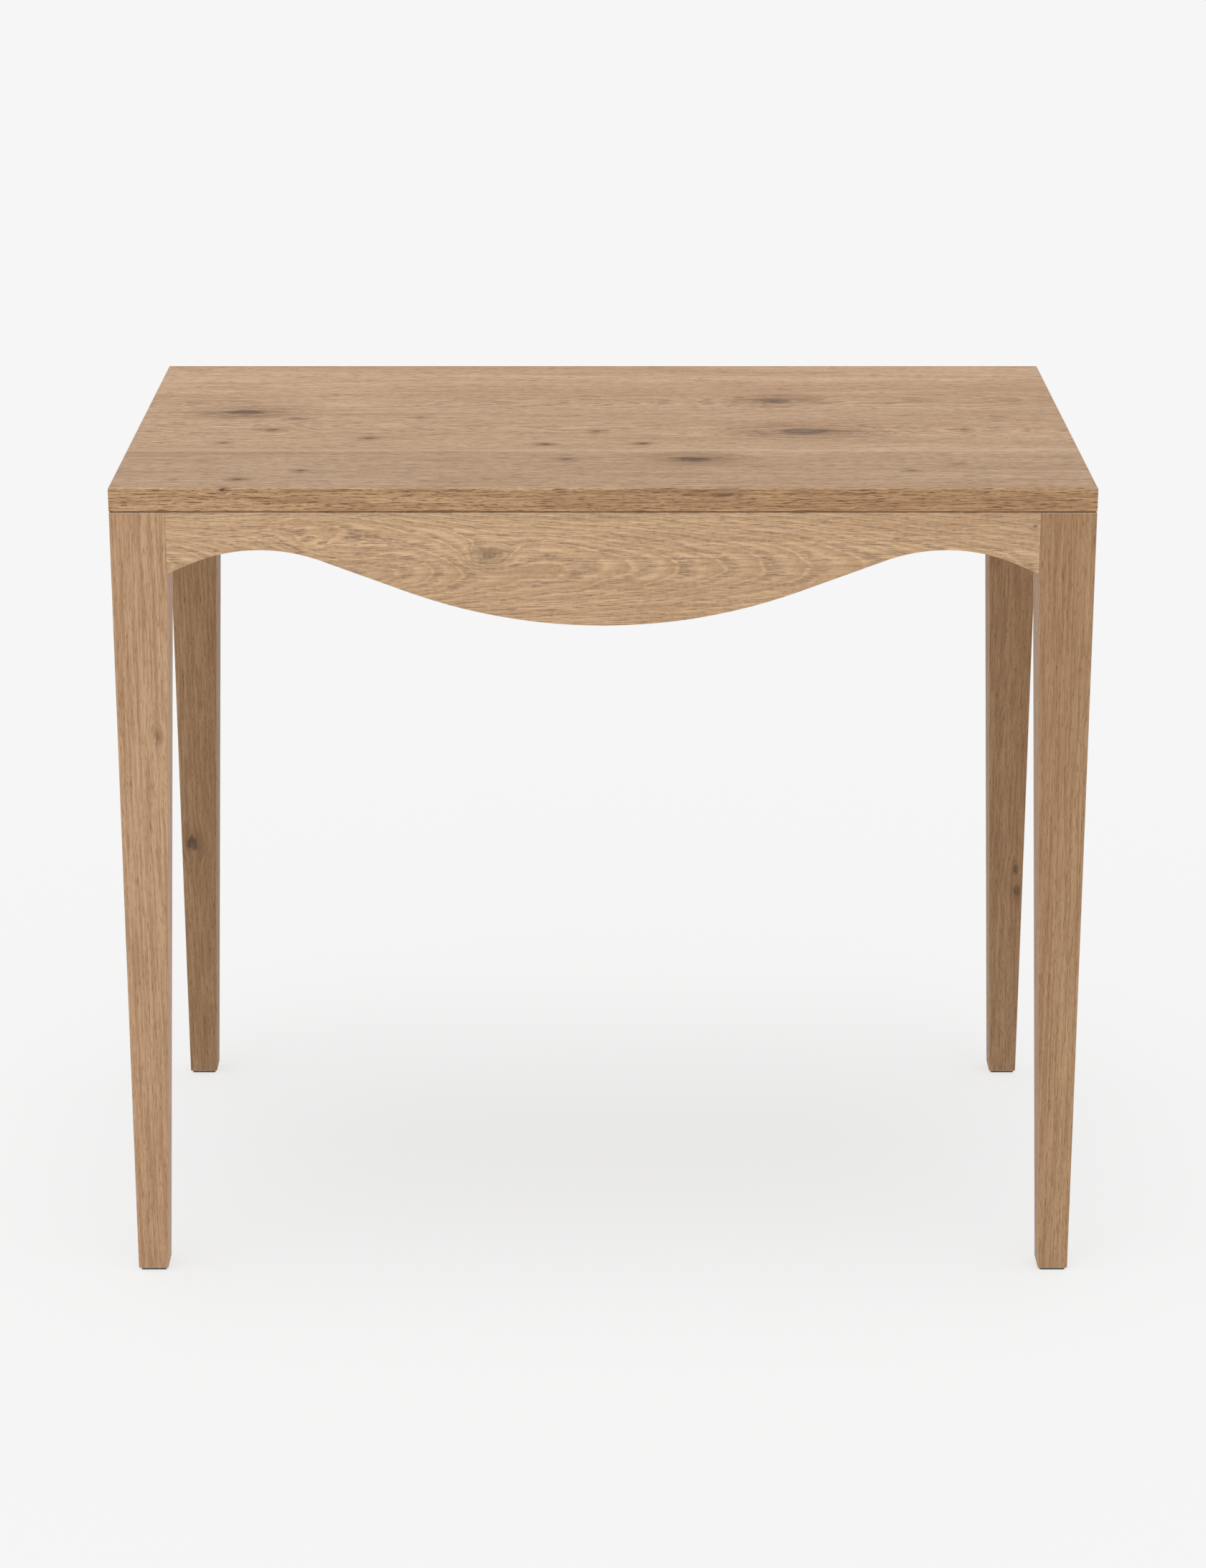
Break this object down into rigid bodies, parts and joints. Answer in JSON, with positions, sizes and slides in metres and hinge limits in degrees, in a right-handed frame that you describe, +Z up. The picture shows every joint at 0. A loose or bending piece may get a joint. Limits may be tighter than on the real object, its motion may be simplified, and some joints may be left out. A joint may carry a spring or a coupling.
{
  "type": "writing desk",
  "caption": "Oak writing desk with a solid board top, waved aprons and square legs tapered on their inner faces.",
  "frame": {"origin": "on the floor, under the middle of the desk's length and depth", "axes": "+X along the desk towards its right end as seen from the front, +Y from the front to the back, +Z up"},
  "size_m": [0.88, 0.52, 0.762],
  "materials": {
    "oak_top": "matte clear-finished oak, pale",
    "oak_legs": "matte clear-finished oak",
    "oak_aprons": "matte clear-finished oak",
    "beech_blocks": "bare sanded beech",
    "beech_biscuits": "pressed beech",
    "zinc_screws": "zinc plated",
    "felt_pads": "dense felt"
  },
  "bodies": {
    "root": {"top_board_front": "oak_top", "top_board_mid_front": "oak_top", "top_board_mid_rear": "oak_top", "top_board_rear": "oak_top", "top_biscuits": "beech_biscuits", "leg_front_left": "oak_legs", "leg_front_right": "oak_legs", "leg_rear_left": "oak_legs", "leg_rear_right": "oak_legs", "front_apron": "oak_aprons", "rear_apron": "oak_aprons", "left_apron": "oak_aprons", "right_apron": "oak_aprons", "corner_block_front_left": "beech_blocks", "corner_block_front_right": "beech_blocks", "corner_block_rear_left": "beech_blocks", "corner_block_rear_right": "beech_blocks", "corner_block_screws": "zinc_screws", "center_rail": "beech_blocks", "center_rail_screws": "zinc_screws", "top_buttons": "beech_blocks", "top_button_screws": "zinc_screws", "foot_pad_front_left": "felt_pads", "foot_pad_front_right": "felt_pads", "foot_pad_rear_left": "felt_pads", "foot_pad_rear_right": "felt_pads"}
  },
  "joints": []
}
